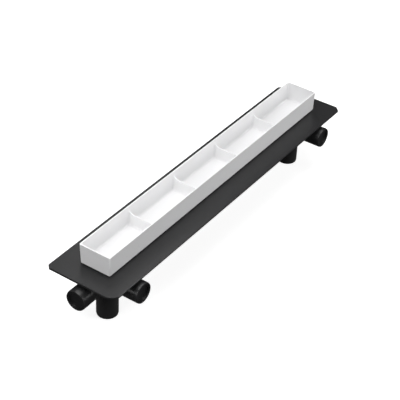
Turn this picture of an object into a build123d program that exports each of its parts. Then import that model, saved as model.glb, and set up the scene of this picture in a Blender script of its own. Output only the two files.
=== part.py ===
"""Channel drain: a moulded body with outlets at both ends, and the tray that guards its mouth.

Millimetres. X runs along the channel, Z is up and zero on the flange's top face,
and the origin is the middle of the channel's mouth.
"""
import os
from math import radians, tan

from build123d import *

os.makedirs("parts", exist_ok=True)

# Installation tray: outside sizes at its foot, and the pockets inside
tray_length = 832.0
tray_width = 79.0
tray_height = 50.0
tray_draft = 1.4
tray_wall = 2.4
tray_floor = 2.4
tray_corner = 2.5
pocket_corner = 3.0
tray_foot_bevel = 1.5
pocket_count = 5
pocket_side_fillet = 6.0
pocket_end_fillet = 5.0
divider_thickness = 4.4
divider_height = 31.0
divider_saddle = 14.0

# Ribs under the tray's floor, which drop into the channel's mouth
locating_rib_depth = 6.0
locating_rib_thickness = 2.0
locating_rib_clearance = 0.5
locating_rib_setback = 8.0

# Flange and the raised collar that the tray stands on
flange_margin = 51.5
flange_thickness = 4.5
flange_corner_cut = 12.0
flange_bevel = 1.0
collar_height = 3.0
collar_setback = 1.0
collar_wall = 2.5
collar_corner = 5.0

# Shallow trough, deeper towards the pots
trough_middle_depth = 8.0
trough_end_depth = 12.0
trough_wall = 3.0
trough_flat = 5.0

# Sump pots, one at each end
pot_radius = 34.0
pot_wall = 4.0
pot_inset = 37.5
pot_floor_drop = 2.0
ledge_width = 2.5

# Pipe outlets
outlet_radius = 25.0
outlet_wall = 3.0
root_step = 0.5
crown_gap = 2.0
lead_in_length = 3.0
lead_in_depth = 0.8
push_fit_length = 45.0
end_outlet_overhang = 14.0
side_outlet_overhang = 7.0
bottom_outlet_length = 79.0

# Stiffening gussets and outlet webs under the flange
gusset_count = 8
gusset_pitch = 86.0
gusset_reach = 34.0
rib_thickness = 3.0

# Blanking plugs
plug_thickness = 6.0
plug_setback = 4.5
plug_clearance = 0.1

# Odour trap in each pot
trap_clearance = 0.3
trap_wall = 1.8
trap_rim_thickness = 1.5
trap_seal_thickness = 1.0
trap_pan_depth = 8.0
dip_tube_radius = 15.0
dip_tube_gap = 6.5
water_seal = 20.0
cup_radius = 23.0
cup_floor_gap = 5.5
fin_count = 3
fin_width = 3.0
fin_height = 16.0

# Hair strainer over each trap
strainer_thickness = 1.5
strainer_slot_count = 8
strainer_slot_width = 4.0
strainer_hub = 8.0
strainer_rim = 4.0
lift_tab_length = 14.0
lift_tab_height = 6.0

# Sizes that follow from the values above
flange_length = tray_length + 2 * flange_margin
flange_width = tray_width + 2 * flange_margin
collar_length = tray_length - 2 * collar_setback
collar_width = tray_width - 2 * collar_setback
mouth_length = collar_length - 2 * collar_wall
mouth_width = collar_width - 2 * collar_wall
mouth_corner = collar_corner - collar_wall
pot_inner = pot_radius - pot_wall
outlet_x = mouth_length / 2 - pot_inset
bore_radius = outlet_radius - outlet_wall
outlet_axis_depth = trough_end_depth + trough_wall + crown_gap + bore_radius
pot_depth = outlet_axis_depth + outlet_radius + pot_floor_drop
pot_floor = pot_depth - pot_wall
end_reach = flange_length / 2 + end_outlet_overhang
side_reach = flange_width / 2 + side_outlet_overhang
ledge_radius = pot_inner + ledge_width
strainer_foot = trough_end_depth + strainer_thickness
rim_foot = strainer_foot + trap_rim_thickness
seat_depth = rim_foot + trap_seal_thickness

# Each outlet: its mouth, its length back into its pot, and how far a pipe socket goes on
ends = {"near": -1, "far": 1}
outlets = {}
for end, side in ends.items():
    end_mouth = Plane(origin=(side * end_reach, 0, -outlet_axis_depth), z_dir=(side, 0, 0))
    side_mouth = Plane(origin=(side * outlet_x, -side_reach, -outlet_axis_depth), z_dir=(0, -1, 0))
    bottom_mouth = Plane(origin=(side * outlet_x, 0, -pot_depth - bottom_outlet_length), z_dir=(0, 0, -1))
    outlets[f"{end}_end"] = (end_mouth, end_reach - outlet_x, push_fit_length)
    outlets[f"{end}_side"] = (side_mouth, side_reach, push_fit_length)
    outlets[f"{end}_bottom"] = (bottom_mouth, bottom_outlet_length + pot_wall, bottom_outlet_length)
from_base = (Align.CENTER, Align.CENTER, Align.MIN)


def trough_block(length, width, corner, top, middle_depth, end_depth):
    """A long block whose underside falls from the middle to a flat stretch at each pot."""
    flat_start = outlet_x - pot_radius - trough_flat
    with BuildPart() as block:
        with BuildSketch(Plane.XZ):
            with BuildLine():
                Polyline(
                    (-length / 2, top),
                    (-length / 2, -end_depth),
                    (-flat_start, -end_depth),
                    (0, -middle_depth),
                    (flat_start, -end_depth),
                    (length / 2, -end_depth),
                    (length / 2, top),
                    close=True,
                )
            make_face()
        extrude(amount=width / 2, both=True)
        fillet(block.edges().filter_by(Axis.Z), radius=corner)
    return block.part


trough_outside = trough_block(
    collar_length, collar_width, collar_corner, 0,
    trough_middle_depth + trough_wall, trough_end_depth + trough_wall,
)
trough_inside = trough_block(
    mouth_length, mouth_width, mouth_corner, collar_height, trough_middle_depth, trough_end_depth
)

with BuildPart() as channel_body:
    # Flange, collar and the outside of the trough
    with BuildSketch(Plane.XY.offset(-flange_thickness)) as flange_outline:
        Rectangle(flange_length, flange_width)
        chamfer(flange_outline.vertices(), length=flange_corner_cut)
    extrude(amount=flange_thickness)
    chamfer(channel_body.edges().group_by(Axis.Z)[-1], length=flange_bevel)
    with BuildSketch():
        RectangleRounded(collar_length, collar_width, collar_corner)
    extrude(amount=collar_height)
    add(trough_outside)

    # Pots
    with BuildSketch(Plane.XY.offset(-pot_depth)):
        with GridLocations(2 * outlet_x, 0, 2, 1):
            Circle(pot_radius)
    extrude(amount=pot_depth - trough_end_depth)

    # Outlets: a pipe with a lead-in cone, on a slightly thicker root that stops the pipe socket
    for mouth, length, socket_reach in outlets.values():
        with Locations(mouth.offset(-lead_in_length)):
            Cone(outlet_radius, outlet_radius - lead_in_depth, lead_in_length, align=from_base)
        with Locations(mouth.offset(-socket_reach)):
            Cylinder(outlet_radius, socket_reach - lead_in_length, align=from_base)
        with Locations(mouth.offset(-length)):
            Cylinder(outlet_radius + root_step, length - socket_reach, align=from_base)

    # Gussets between the trough's sides and the flange
    gusset_top = -flange_thickness / 2
    gusset_foot = -(trough_middle_depth + trough_wall / 2)
    for index in range(gusset_count):
        with BuildSketch(Plane.YZ.offset((index - (gusset_count - 1) / 2) * gusset_pitch)):
            with BuildLine():
                Polyline(
                    (-mouth_width / 2 - gusset_reach, gusset_top),
                    (-mouth_width / 2 - gusset_reach, -flange_thickness),
                    (-mouth_width / 2, gusset_foot),
                    (mouth_width / 2, gusset_foot),
                    (mouth_width / 2 + gusset_reach, -flange_thickness),
                    (mouth_width / 2 + gusset_reach, gusset_top),
                    close=True,
                )
            make_face()
        extrude(amount=rib_thickness / 2, both=True)

    # A keel under the trough, which carries on over the end outlets, and a web over each side outlet
    web_foot = outlet_axis_depth - bore_radius - outlet_wall / 2
    with BuildSketch(Plane.XY.offset(-flange_thickness / 2)):
        Rectangle(2 * (end_reach - push_fit_length), rib_thickness)
        with Locations((-outlet_x, 0), (outlet_x, 0)):
            Rectangle(rib_thickness, side_reach - push_fit_length, align=(Align.CENTER, Align.MAX))
    extrude(amount=flange_thickness / 2 - web_foot)

    # Inside of the trough, the pots and the ledges that the traps rest on
    add(trough_inside, mode=Mode.SUBTRACT)
    for radius, depth in ((pot_inner, pot_floor), (ledge_radius, seat_depth)):
        with BuildSketch(Plane.XY.offset(-depth)):
            with GridLocations(2 * outlet_x, 0, 2, 1):
                Circle(radius)
        extrude(amount=depth, mode=Mode.SUBTRACT)

    # Bores of the outlets
    for mouth, length, socket_reach in outlets.values():
        with Locations(mouth.offset(-length)):
            Cylinder(bore_radius, length, align=from_base, mode=Mode.SUBTRACT)
channel_body.part.label = "channel_body"
export_step(channel_body.part, "parts/channel_body.step")

# Tray: a drafted box, and one drafted pocket between each two dividers
slope = tan(radians(tray_draft))
tray_flare = tray_height * slope
wall_flare = (tray_height - tray_floor) * slope
tray_top = collar_height + tray_height
floor_top = collar_height + tray_floor
inner_length = tray_length - 2 * (tray_wall - tray_floor * slope)
inner_width = tray_width - 2 * (tray_wall - tray_floor * slope)
pocket_length = (inner_length - (pocket_count - 1) * divider_thickness) / pocket_count
pocket_pitch = pocket_length + divider_thickness
saddle_height = collar_height + divider_height
saddle_width = inner_width + 2 * (divider_height - tray_floor) * slope


def drafted_box(length, width, corner, foot, flare):
    """A box with rounded corners that is wider at its top than at its foot."""
    with BuildPart() as block:
        with BuildSketch(Plane.XY.offset(foot)):
            RectangleRounded(length, width, corner)
        with BuildSketch(Plane.XY.offset(tray_top)):
            RectangleRounded(length + 2 * flare, width + 2 * flare, corner + flare)
        loft()
    return block.part


def pocket_section(length, floor_fillet):
    """A pocket seen from the side: drafted walls and a rounded floor."""
    with BuildSketch() as section:
        with BuildLine():
            Polyline(
                (-length / 2, floor_top),
                (length / 2, floor_top),
                (length / 2 + wall_flare, tray_top),
                (-length / 2 - wall_flare, tray_top),
                close=True,
            )
        make_face()
        fillet(section.vertices().group_by(Axis.Y)[0], radius=floor_fillet)
    return section.sketch


tray_outside = drafted_box(tray_length, tray_width, tray_corner, collar_height, tray_flare)
tray_inside = drafted_box(inner_length, inner_width, pocket_corner, floor_top, wall_flare)
pocket_along = pocket_section(pocket_length, pocket_end_fillet)
pocket_across = pocket_section(inner_width, pocket_side_fillet)

with BuildPart() as pockets:
    with BuildSketch(Plane.XZ):
        with GridLocations(pocket_pitch, 0, pocket_count, 1):
            add(pocket_along)
    extrude(amount=tray_width / 2, both=True)
    with BuildSketch(Plane.YZ.offset(-tray_length / 2)):
        add(pocket_across)
    extrude(amount=tray_length, mode=Mode.INTERSECT)
    add(tray_inside, mode=Mode.INTERSECT)

with BuildPart() as installation_tray:
    add(tray_outside)
    chamfer(installation_tray.edges().group_by(Axis.Z)[0], length=tray_foot_bevel)
    add(pockets.part, mode=Mode.SUBTRACT)

    # The dividers' tops: level in the middle, sweeping up into the side walls
    with BuildSketch(Plane.YZ) as saddle:
        with BuildLine():
            Polyline(
                (-saddle_width / 2, saddle_height),
                (saddle_width / 2, saddle_height),
                (inner_width / 2 + wall_flare, tray_top),
                (-inner_width / 2 - wall_flare, tray_top),
                close=True,
            )
        make_face()
        fillet(saddle.vertices().group_by(Axis.Y)[0], radius=divider_saddle)
    extrude(amount=(pocket_count - 1) / 2 * pocket_pitch, both=True, mode=Mode.SUBTRACT)

    # Locating ribs: a long one near each side of the mouth and a short one near each end
    rib_x = mouth_length / 2 - locating_rib_clearance - locating_rib_thickness / 2
    rib_y = mouth_width / 2 - locating_rib_clearance - locating_rib_thickness / 2
    with BuildSketch(Plane.XY.offset(collar_height)):
        with GridLocations(0, 2 * rib_y, 1, 2):
            Rectangle(mouth_length - 2 * locating_rib_setback, locating_rib_thickness)
        with GridLocations(2 * rib_x, 0, 2, 1):
            Rectangle(locating_rib_thickness, mouth_width - 2 * locating_rib_setback)
    extrude(amount=-locating_rib_depth)
installation_tray.part.label = "installation_tray"
export_step(installation_tray.part, "parts/installation_tray.step")

# Blanking plugs: a disc pressed into each outlet, a little way in from its mouth
for name, (mouth, length, socket_reach) in outlets.items():
    with BuildPart() as plug:
        with BuildSketch(mouth.offset(-plug_setback)):
            Circle(bore_radius - plug_clearance)
        extrude(amount=-plug_thickness)
    plug.part.label = f"{name}_plug"
    export_step(plug.part, f"parts/{name}_plug.step")

# Odour traps: a pan with a dip tube rests on the ledge, over a cup of water that stands in the pot
pan_radius = pot_inner - trap_clearance
pan_inner = pan_radius - trap_wall
pan_foot = seat_depth + trap_pan_depth
pan_floor = pan_foot - trap_wall
rim_radius = ledge_radius - trap_clearance
tube_inner = dip_tube_radius - trap_wall
cup_foot = pot_floor - cup_floor_gap
cup_inner = cup_radius - trap_wall
tube_foot = cup_foot - trap_wall - dip_tube_gap
cup_rim = tube_foot - water_seal
fin_root = cup_radius - trap_wall / 2
fin_reach = pot_inner - trap_clearance
slot_start = strainer_hub
slot_end = pan_inner - strainer_rim

pot_centre = Plane(origin=(outlet_x, 0, 0))
with BuildPart() as trap_funnels:
    with BuildSketch(Plane(origin=pot_centre.origin, x_dir=(1, 0, 0), z_dir=(0, -1, 0))):
        with BuildLine():
            Polyline(
                (tube_inner, -pan_floor),
                (tube_inner, -tube_foot),
                (dip_tube_radius, -tube_foot),
                (dip_tube_radius, -pan_foot),
                (pan_radius, -pan_foot),
                (pan_radius, -rim_foot),
                (rim_radius, -rim_foot),
                (rim_radius, -strainer_foot),
                (pan_inner, -strainer_foot),
                (pan_inner, -pan_floor),
                close=True,
            )
        make_face()
    revolve(axis=Axis(pot_centre.origin, (0, 0, 1)))
    mirror(about=Plane.YZ)
trap_funnels.part.label = "trap_funnels"
export_step(trap_funnels.part, "parts/trap_funnels.step")

# A flat rubber ring between each funnel's rim and its ledge
with BuildPart() as trap_seals:
    with BuildSketch(pot_centre.offset(-seat_depth)):
        Circle(rim_radius)
        Circle(pan_radius, mode=Mode.SUBTRACT)
    extrude(amount=trap_seal_thickness)
    mirror(about=Plane.YZ)
trap_seals.part.label = "trap_seals"
export_step(trap_seals.part, "parts/trap_seals.step")

# The cups' fins stand on the pots' floors and keep the cups in the middle
with BuildPart() as trap_cups:
    with BuildSketch(pot_centre.offset(-cup_foot)):
        Circle(cup_radius)
    extrude(amount=cup_foot - cup_rim)
    with BuildSketch(pot_centre.offset(-cup_foot + trap_wall)):
        Circle(cup_inner)
    extrude(amount=cup_foot - trap_wall - cup_rim, mode=Mode.SUBTRACT)
    with BuildSketch(pot_centre.offset(-pot_floor)):
        with PolarLocations((fin_root + fin_reach) / 2, fin_count):
            Rectangle(fin_reach - fin_root, fin_width)
    extrude(amount=fin_height)
    mirror(about=Plane.YZ)
trap_cups.part.label = "trap_cups"
export_step(trap_cups.part, "parts/trap_cups.step")

# The strainers lie on the funnels' rims, level with the trough's floor
with BuildPart() as hair_strainers:
    with BuildSketch(pot_centre.offset(-strainer_foot)):
        Circle(rim_radius)
        with PolarLocations((slot_start + slot_end) / 2, strainer_slot_count):
            Rectangle(slot_end - slot_start, strainer_slot_width, mode=Mode.SUBTRACT)
    extrude(amount=strainer_thickness)
    with BuildSketch(pot_centre.offset(-trough_end_depth)):
        Rectangle(lift_tab_length, strainer_thickness)
    extrude(amount=lift_tab_height)
    mirror(about=Plane.YZ)
hair_strainers.part.label = "hair_strainers"
export_step(hair_strainers.part, "parts/hair_strainers.step")
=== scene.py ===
"""Channel drain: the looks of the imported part, in a plain pale studio."""
from math import cos, radians, sin, tan

import bpy
from mathutils import Matrix, Vector


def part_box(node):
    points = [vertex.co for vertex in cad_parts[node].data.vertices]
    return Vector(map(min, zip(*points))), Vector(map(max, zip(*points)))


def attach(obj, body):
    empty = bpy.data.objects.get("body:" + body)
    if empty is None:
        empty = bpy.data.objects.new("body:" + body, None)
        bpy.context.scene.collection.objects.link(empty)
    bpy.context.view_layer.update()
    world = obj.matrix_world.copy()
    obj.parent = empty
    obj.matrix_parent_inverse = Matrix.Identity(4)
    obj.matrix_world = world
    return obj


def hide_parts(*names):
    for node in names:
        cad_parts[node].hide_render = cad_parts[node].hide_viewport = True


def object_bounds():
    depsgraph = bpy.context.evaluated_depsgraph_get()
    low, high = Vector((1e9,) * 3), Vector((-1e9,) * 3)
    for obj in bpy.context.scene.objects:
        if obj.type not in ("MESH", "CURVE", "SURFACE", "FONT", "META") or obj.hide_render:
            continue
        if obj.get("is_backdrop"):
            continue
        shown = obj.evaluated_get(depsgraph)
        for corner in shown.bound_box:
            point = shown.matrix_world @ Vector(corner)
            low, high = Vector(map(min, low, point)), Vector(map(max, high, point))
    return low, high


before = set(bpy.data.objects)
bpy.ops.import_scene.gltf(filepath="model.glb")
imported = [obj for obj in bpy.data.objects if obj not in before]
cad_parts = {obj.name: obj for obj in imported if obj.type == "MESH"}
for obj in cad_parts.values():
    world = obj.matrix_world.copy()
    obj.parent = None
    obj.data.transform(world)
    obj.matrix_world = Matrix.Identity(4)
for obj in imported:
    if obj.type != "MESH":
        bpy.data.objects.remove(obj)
cad_low, cad_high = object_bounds()

# The camera: a long lens above the near end, turned a little about its own line of sight.
# Its place was worked out from the corners of the tray and the flange in the photograph.
azimuth, elevation, roll = radians(-56.77), radians(36.65), radians(2.89)
distance, aside, above = 2.81113, -0.01759, -0.04984
focal_pixels, picture_pixels, sensor_width = 1206.56, 400, 36
aim_height = 0.003

backwards = Vector((sin(azimuth) * cos(elevation), -cos(azimuth) * cos(elevation), sin(elevation)))
level_right = Vector((cos(azimuth), sin(azimuth), 0))
level_up = backwards.cross(level_right)
right = cos(roll) * level_right + sin(roll) * level_up
up = backwards.cross(right)
place = backwards * distance + right * aside + up * above + Vector((0, 0, aim_height))
turn = Matrix((right, up, backwards)).transposed().to_4x4()
lens = bpy.data.cameras.new("studio_camera")
lens.sensor_width = sensor_width
lens.lens = focal_pixels / picture_pixels * sensor_width
camera = bpy.data.objects.new("studio_camera", lens)
camera.matrix_world = Matrix.Translation(place) @ turn
bpy.context.scene.collection.objects.link(camera)
bpy.context.scene.camera = camera

# The studio: a white floor that the drain stands on and a round white wall far behind it, both
# lit from within so that they stay plain white. Large soft lamps stand overhead, at the near end
# and along the side, and two small ones over the flange give the black plastic its sheen.
room_colour, room_strength = (1.0, 1.0, 1.0, 1.0), 0.07
floor_size = 14.0
wall_radius, wall_height, wall_sides = 6.5, 6.0, 96
paper_dark, paper_light = (0.50, 0.50, 0.50), (0.55, 0.55, 0.55)
glow_colour, glow_strength = (1.0, 1.0, 1.0, 1.0), 0.80
lamps = {
    "overhead": {"at": (0.35, 0.2, 2.4), "size": (2.2, 2.2), "watts": 49},
    "near_end": {"at": (-2.0, 0.1, 0.62), "size": (0.9, 0.9), "watts": 12.5},
    "long_side": {"at": (0.7, -2.2, 1.0), "size": (1.4, 1.4), "watts": 37},
    "far_glow": {"at": (0.45, 0.56, 0.76), "size": (0.5, 0.5), "watts": 1.0},
    "near_glow": {"at": (-0.68, -0.08, 0.9), "size": (0.4, 0.4), "watts": 3.6},
}

scene = bpy.context.scene
scene.view_settings.view_transform = "Standard"
room = bpy.data.worlds.new("studio_room")
room.use_nodes = True
room.node_tree.nodes["Background"].inputs["Color"].default_value = room_colour
room.node_tree.nodes["Background"].inputs["Strength"].default_value = room_strength
scene.world = room
for name, lamp in lamps.items():
    light = bpy.data.lights.new(name, "AREA")
    light.shape = "RECTANGLE"
    light.size, light.size_y = lamp["size"]
    light.energy = lamp["watts"]
    holder = bpy.data.objects.new(name, light)
    holder.location = lamp["at"]
    holder.rotation_euler = (-Vector(lamp["at"])).to_track_quat("-Z", "Y").to_euler()
    holder.visible_camera = False
    scene.collection.objects.link(holder)

bpy.ops.object.select_all(action="DESELECT")
bpy.ops.mesh.primitive_plane_add(size=floor_size, location=(0, 0, cad_low.z))
floor = bpy.context.object
floor.name = "studio_floor"
bpy.ops.object.select_all(action="DESELECT")
bpy.ops.mesh.primitive_cylinder_add(
    vertices=wall_sides, radius=wall_radius, depth=wall_height, end_fill_type="NOTHING",
    location=(0, 0, cad_low.z + wall_height / 2),
)
wall = bpy.context.object
wall.name = "studio_wall"
wall.visible_shadow = False
for backdrop in (floor, wall):
    backdrop.visible_glossy = False
    backdrop.visible_diffuse = False
    backdrop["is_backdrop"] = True


class Socket:
    """One node socket of a material, so that shader maths reads as plain arithmetic."""

    def __init__(self, tree, socket=None):
        self.tree = tree
        self.socket = socket

    def node(self, kind, settings=None, inputs=None, output=0):
        """Adds a node: its settings first, then the values or links of its sockets."""
        made = self.tree.nodes.new(kind)
        for name, value in (settings or {}).items():
            setattr(made, name, value)
        for key, value in (inputs or {}).items():
            if isinstance(value, Socket):
                self.tree.links.new(value.socket, made.inputs[key])
            else:
                made.inputs[key].default_value = value
        return Socket(self.tree, made.outputs[output])

    def maths(self, operation, first, second):
        return self.node("ShaderNodeMath", {"operation": operation}, {0: first, 1: second})

    def __add__(self, other):
        return self.maths("ADD", self, other)

    def __radd__(self, other):
        return self.maths("ADD", other, self)

    def __sub__(self, other):
        return self.maths("SUBTRACT", self, other)

    def __rsub__(self, other):
        return self.maths("SUBTRACT", other, self)

    def __mul__(self, other):
        return self.maths("MULTIPLY", self, other)

    def __rmul__(self, other):
        return self.maths("MULTIPLY", other, self)


def moulded_plastic(name, dark, light, roughness, grain_depth, grain_size, cloud_size):
    """Moulded plastic: a faintly clouded colour, uneven gloss and a fine grain off the mould."""
    shine = 0.3
    cloud_detail, grain_detail = 3.0, 2.0
    cloud_gloss, grain_gloss = 0.12, 0.06
    grain_strength = 0.25
    material = bpy.data.materials.new(name)
    material.use_nodes = True
    tree = material.node_tree
    surface = tree.nodes["Principled BSDF"]
    start = Socket(tree)
    place = start.node("ShaderNodeTexCoord", output="Object")
    cloud, grain = (
        start.node("ShaderNodeTexNoise", None, {"Vector": place, "Scale": 1 / size, "Detail": detail})
        for size, detail in ((cloud_size, cloud_detail), (grain_size, grain_detail))
    )
    colour = start.node(
        "ShaderNodeMix", {"data_type": "RGBA"},
        {"Factor": cloud, "A": (*dark, 1), "B": (*light, 1)}, "Result",
    )
    tree.links.new(colour.socket, surface.inputs["Base Color"])
    surface.inputs["Specular IOR Level"].default_value = shine
    gloss = roughness + cloud_gloss * (cloud - 0.5) + grain_gloss * (grain - 0.5)
    tree.links.new(gloss.socket, surface.inputs["Roughness"])
    bump = start.node(
        "ShaderNodeBump", None, {"Strength": grain_strength, "Distance": grain_depth, "Height": grain}
    )
    tree.links.new(bump.socket, surface.inputs["Normal"])
    return material


paper = moulded_plastic(
    "studio_paper", paper_dark, paper_light,
    roughness=0.9, grain_depth=0.0001, grain_size=0.004, cloud_size=0.5,
)
paper.node_tree.nodes["Principled BSDF"].inputs["Emission Color"].default_value = glow_colour
paper.node_tree.nodes["Principled BSDF"].inputs["Emission Strength"].default_value = glow_strength
floor.data.materials.append(paper)
wall.data.materials.append(paper)


# The body: one black injection moulding in a tough polyolefin. Flange, collar, trough, pots
# and spigots come out of one tool, with small radii on every edge. Its shape is the CAD
# solid's, with the flange's four corners eased as the photograph shows them.
body_dark, body_light = (0.015, 0.015, 0.0155), (0.025, 0.025, 0.0258)
body_edge_radius, body_sharp_angle, body_flat_angle = 0.0004, 28, 0.5
edge_steps, smooth_angle = 2, 35
weld, hair, climb = 0.00001, 0.0001, 0.0005
flat_face = 0.0012

# Each corner of the flange is named by the signs of its X and Y. A slide moves the end of its
# cut on the short edge across the drain, and the end on the long edge along it.
corner_reach, corner_middle_x = (0.450, 0.073), 0.4615
largest_slide, small_slide = 0.006, 0.0035
corner_slides = {(-1, -1): (-largest_slide, 0.0), (-1, 1): (small_slide, small_slide)}
corner_roundings = {(-1, -1): 0.0090, (-1, 1): 0.0012, (1, -1): 0.0015, (1, 1): 0.0015}
corner_steps = 5


def pick(piece, kind, test):
    """Selects in edit mode the points, edges or faces of a piece that pass a test."""
    bpy.ops.object.mode_set(mode="EDIT")
    bpy.ops.mesh.select_mode(type=kind)
    bpy.ops.mesh.select_all(action="DESELECT")
    bpy.ops.object.mode_set(mode="OBJECT")
    points = piece.data.vertices
    if kind == "VERT":
        for point in points:
            point.select = test([point.co])
    else:
        for element in piece.data.edges if kind == "EDGE" else piece.data.polygons:
            element.select = test([points[index].co for index in element.vertices])
    bpy.ops.object.mode_set(mode="EDIT")


def upright(points):
    """Whether an edge climbs, and doesn't lie level."""
    return abs(points[0].z - points[1].z) > climb


def bevel_picked(size, steps):
    """Rounds or cuts the edges that are picked, and leaves edit mode."""
    bpy.ops.mesh.bevel(offset=size, segments=steps, affect="EDGES")
    bpy.ops.object.mode_set(mode="OBJECT")


def clean_mesh(piece, flat_angle):
    """Merges a piece's doubled points and its faces that lie in one plane."""
    pick(piece, "EDGE", lambda points: True)
    bpy.ops.mesh.remove_doubles(threshold=weld)
    bpy.ops.mesh.dissolve_limited(angle_limit=radians(flat_angle))
    bpy.ops.object.mode_set(mode="OBJECT")


def rounded_edges(piece, radius, sharp_angle):
    """Rounds a piece's sharp edges a little and keeps its flat faces evenly shaded."""
    bpy.ops.object.select_all(action="DESELECT")
    bpy.context.view_layer.objects.active = piece
    piece.select_set(True)
    rounding = piece.modifiers.new("edge_radius", "BEVEL")
    rounding.width = radius
    rounding.segments = edge_steps
    rounding.limit_method = "ANGLE"
    rounding.angle_limit = radians(sharp_angle)
    rounding.miter_outer = "MITER_ARC"
    bpy.ops.object.modifier_apply(modifier=rounding.name)
    bpy.ops.object.shade_smooth_by_angle(angle=radians(smooth_angle))
    for face in piece.data.polygons:
        face.use_smooth = face.use_smooth and face.area < flat_face


bpy.ops.object.select_all(action="DESELECT")
cad_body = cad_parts["channel_body"]
body = cad_body.copy()
body.data = cad_body.data.copy()
body.name = "body_moulding"
for key in list(body.keys()):
    del body[key]
body.parent = None
scene.collection.objects.link(body)
bpy.context.view_layer.objects.active = body
body.select_set(True)
clean_mesh(body, body_flat_angle)
for (end, side), (across, along) in corner_slides.items():
    for on_short_edge, slide in ((True, (0, across * side, 0)), (False, (along * end, 0, 0))):
        pick(body, "VERT", lambda points: (
            points[0].x * end > corner_reach[0] and points[0].y * side > corner_reach[1]
            and (points[0].x * end > corner_middle_x) == on_short_edge
        ))
        bpy.ops.transform.translate(value=slide)
        bpy.ops.object.mode_set(mode="OBJECT")
for (end, side), rounding in corner_roundings.items():
    pick(body, "EDGE", lambda points: upright(points) and all(
        point.x * end > corner_reach[0] and point.y * side > corner_reach[1] - largest_slide
        for point in points
    ))
    bevel_picked(rounding, corner_steps)
rounded_edges(body, body_edge_radius, body_sharp_angle)

black_plastic = moulded_plastic(
    "black_plastic", body_dark, body_light,
    roughness=0.33, grain_depth=0.00012, grain_size=0.0009, cloud_size=0.7,
)
body.data.materials.clear()
body.data.materials.append(black_plastic)
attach(body, "root")
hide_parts("channel_body")


# The tray: a thin white moulding that keeps mortar out of the channel. Its walls draw in towards
# the foot, its pockets are rounded inside for the mould, and low saddle-shaped dividers stiffen
# it. Thin ribs under its floor hold it in the collar.
tray_foot, tray_top = 0.003, 0.053
tray_length, tray_width = 0.832, 0.079
tray_draft = tan(radians(1.4))
tray_wall, tray_floor = 0.0024, 0.0024
pocket_count, divider_thickness = 5, 0.0044
outer_corner, outer_steps = 0.003, 5
foot_radius, foot_steps = 0.0015, 3
pocket_radius, pocket_steps = 0.005, 8
saddle_height, saddle_radius, saddle_steps = 0.034, 0.014, 8
rim_radius, tray_sharp_angle, tray_flat_angle = 0.0005, 38, 0.3
rib_depth, rib_thickness, rib_overlap = 0.006, 0.002, 0.001
rib_places = {
    (0.0, 0.0345): (0.806, rib_thickness),
    (0.0, -0.0345): (0.806, rib_thickness),
    (0.411, 0.0): (rib_thickness, 0.053),
    (-0.411, 0.0): (rib_thickness, 0.053),
}
tray_shade, tray_colour = (0.78, 0.78, 0.785), (0.81, 0.81, 0.815)


def block_of(name, length, width, low, high, middle=(0.0, 0.0), flare=0.0):
    """A block between two heights, whose top is wider than its foot by the flare."""
    bpy.ops.object.select_all(action="DESELECT")
    bpy.ops.mesh.primitive_cube_add(size=1, location=(*middle, (low + high) / 2))
    block = bpy.context.object
    block.name = name
    block.scale = (length, width, high - low)
    bpy.ops.object.transform_apply(location=True, rotation=False, scale=True)
    if flare:
        pick(block, "FACE", lambda points: all(point.z > high - hair for point in points))
        bpy.ops.transform.resize(
            value=(1 + flare / length, 1 + flare / width, 1), center_override=(*middle, high)
        )
        bpy.ops.object.mode_set(mode="OBJECT")
    return block


def drafted_block(name, length, width, low, high):
    """A block whose walls lean out towards its top by the mould's draft."""
    return block_of(name, length, width, low, high, flare=2 * (high - low) * tray_draft)


def work_with(piece, tool, operation):
    """Joins a block to a piece, or takes its shape out of it, and deletes the block."""
    bpy.ops.object.select_all(action="DESELECT")
    bpy.context.view_layer.objects.active = piece
    piece.select_set(True)
    step = piece.modifiers.new("step", "BOOLEAN")
    step.operation = operation
    step.solver = "EXACT"
    step.object = tool
    bpy.ops.object.modifier_apply(modifier=step.name)
    bpy.data.objects.remove(tool)


tray = drafted_block("tray_moulding", tray_length, tray_width, tray_foot, tray_top)
pick(tray, "EDGE", upright)
bevel_picked(outer_corner, outer_steps)
pick(tray, "EDGE", lambda points: all(point.z < tray_foot + hair for point in points))
bevel_picked(foot_radius, foot_steps)

# The five pockets are cut as one tool
floor_top = tray_foot + tray_floor
inner_length = tray_length - 2 * (tray_wall - tray_floor * tray_draft)
inner_width = tray_width - 2 * (tray_wall - tray_floor * tray_draft)
pocket_length = (inner_length - (pocket_count - 1) * divider_thickness) / pocket_count
pocket_pitch = pocket_length + divider_thickness
cut_top = tray_top + 0.002
pocket = drafted_block("pocket", pocket_length, inner_width, floor_top, cut_top)
pick(pocket, "EDGE", lambda points: (
    upright(points) or all(point.z < floor_top + hair for point in points)
))
bevel_picked(pocket_radius, pocket_steps)
pockets = [pocket]
for index in range(1, pocket_count):
    bpy.ops.object.duplicate()
    pockets.append(bpy.context.object)
for index, block in enumerate(pockets):
    block.location.x = (index - (pocket_count - 1) / 2) * pocket_pitch
    block.select_set(True)
bpy.ops.object.join()
work_with(tray, bpy.context.object, "DIFFERENCE")

# One long block with rounded lower edges cuts the saddle into all four dividers
saddle_length = (pocket_count - 1) * pocket_pitch
saddle_width = inner_width + 2 * (saddle_height - floor_top) * tray_draft
saddle = drafted_block("saddle", saddle_length, saddle_width, saddle_height, cut_top)
pick(saddle, "EDGE", lambda points: (
    all(point.z < saddle_height + hair for point in points)
    and abs(points[0].x - points[1].x) > hair
))
bevel_picked(saddle_radius, saddle_steps)
work_with(tray, saddle, "DIFFERENCE")

for middle, (length, width) in rib_places.items():
    rib = block_of("rib", length, width, tray_foot - rib_depth, tray_foot + rib_overlap, middle)
    work_with(tray, rib, "UNION")
clean_mesh(tray, tray_flat_angle)
rounded_edges(tray, rim_radius, tray_sharp_angle)

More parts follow.
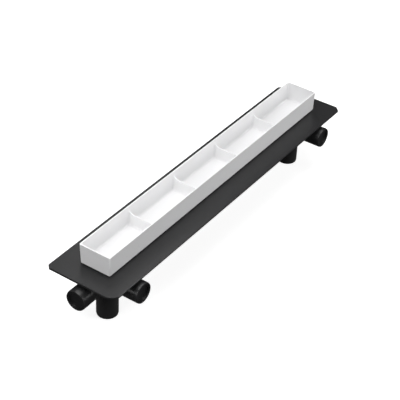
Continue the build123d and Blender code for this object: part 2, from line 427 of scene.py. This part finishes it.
white_plastic = moulded_plastic(
    "white_plastic", tray_shade, tray_colour,
    roughness=0.45, grain_depth=0.00008, grain_size=0.0008, cloud_size=0.08,
)
tray.data.materials.clear()
tray.data.materials.append(white_plastic)
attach(tray, "root")
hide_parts("installation_tray")


# The blanking plugs: round black mouldings pressed a little way into the six mouths until the
# pipes are joined. Each is a shallow pan with a rounded bead round its face, hollow at the back.
plug_radius, plug_back, plug_sides = 0.0219, 0.006, 72
shoulder_height, shoulder_width = 0.0015, 0.0010
bead_height, bead_width = 0.0015, 0.0030
bead_radius, bead_steps = 0.0012, 4
dish_width, dish_depth = 0.0042, 0.0008
hollow_wall, hollow_depth = 0.0022, 0.0040
plug_edge_radius, plug_sharp_angle = 0.00035, 35
plug_dark, plug_light = (0.009, 0.009, 0.0094), (0.015, 0.015, 0.0156)
sideways, downwards = Vector((0, -1, 0)), Vector((0, 0, -1))


def pick_level(piece, level, inside, outside=1.0):
    """Selects the faces of a plug at a height, between two distances from its axis."""
    pick(piece, "FACE", lambda points: all(
        abs(point.z - level) < hair and inside - hair < point.xy.length < outside + hair
        for point in points
    ))


def push_selected(depth):
    """Extrudes the selected faces along the plug's axis."""
    bpy.ops.mesh.extrude_region_move(TRANSFORM_OT_translate={"value": (0, 0, depth)})
    bpy.ops.object.mode_set(mode="OBJECT")


bpy.ops.object.select_all(action="DESELECT")
bpy.ops.mesh.primitive_cylinder_add(
    vertices=plug_sides, radius=plug_radius, depth=shoulder_height + plug_back,
    location=(0, 0, (shoulder_height - plug_back) / 2),
)
pattern_plug = bpy.context.object
bpy.ops.object.transform_apply(location=True, rotation=False, scale=False)
pick_level(pattern_plug, shoulder_height, 0)
bpy.ops.mesh.inset(thickness=shoulder_width, depth=0)
bpy.ops.mesh.inset(thickness=bead_width, depth=0)
push_selected(-shoulder_height)
bead_outside = plug_radius - shoulder_width
bead_inside = bead_outside - bead_width
pick_level(pattern_plug, shoulder_height, bead_inside, bead_outside)
push_selected(bead_height)
bead_top = shoulder_height + bead_height
pick(pattern_plug, "EDGE", lambda points: (
    all(point.z > bead_top - hair for point in points)
    and abs(points[0].xy.length - points[1].xy.length) < hair
))
bevel_picked(bead_radius, bead_steps)
pick_level(pattern_plug, 0.0, 0)
bpy.ops.mesh.inset(thickness=dish_width, depth=0)
push_selected(-dish_depth)
pick_level(pattern_plug, -plug_back, 0)
bpy.ops.mesh.inset(thickness=hollow_wall, depth=0)
push_selected(hollow_depth)
rounded_edges(pattern_plug, plug_edge_radius, plug_sharp_angle)

plug_black = moulded_plastic(
    "plug_black", plug_dark, plug_light,
    roughness=0.30, grain_depth=0.0001, grain_size=0.0007, cloud_size=1.0,
)
pattern_plug.data.materials.append(plug_black)
for end, outwards in (("near", Vector((-1, 0, 0))), ("far", Vector((1, 0, 0)))):
    for outlet, faces in (("end", outwards), ("side", sideways), ("bottom", downwards)):
        node = f"{end}_{outlet}_plug"
        low, high = (Vector(corner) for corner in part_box(node))
        plug = pattern_plug.copy()
        plug.data = pattern_plug.data.copy()
        plug.name = f"{node}_moulding"
        scene.collection.objects.link(plug)
        bpy.ops.object.select_all(action="DESELECT")
        bpy.context.view_layer.objects.active = plug
        plug.select_set(True)
        plug.location = (low + high) / 2 + faces * abs((high - low).dot(faces)) / 2
        plug.rotation_euler = faces.to_track_quat("Z", "Y").to_euler()
        bpy.ops.object.transform_apply(location=True, rotation=True, scale=False)
        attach(plug, "root")
        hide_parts(node)
bpy.data.objects.remove(pattern_plug)


# The odour traps and hair strainers: grey mouldings that lift out of the pots for cleaning, and
# the flat rubber rings that the traps sit on. Their shapes are the CAD solids' own.
trap_dark, trap_light = (0.24, 0.25, 0.27), (0.30, 0.31, 0.33)
rubber_dark, rubber_light = (0.02, 0.02, 0.02), (0.035, 0.035, 0.035)
trap_grey = moulded_plastic(
    "trap_grey", trap_dark, trap_light,
    roughness=0.4, grain_depth=0.0001, grain_size=0.0008, cloud_size=0.03,
)
for node in ("trap_funnels", "trap_cups", "hair_strainers"):
    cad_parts[node].data.materials[0] = trap_grey
seal_rubber = moulded_plastic(
    "seal_rubber", rubber_dark, rubber_light,
    roughness=0.7, grain_depth=0.0001, grain_size=0.0005, cloud_size=0.01,
)
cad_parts["trap_seals"].data.materials[0] = seal_rubber

low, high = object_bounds()
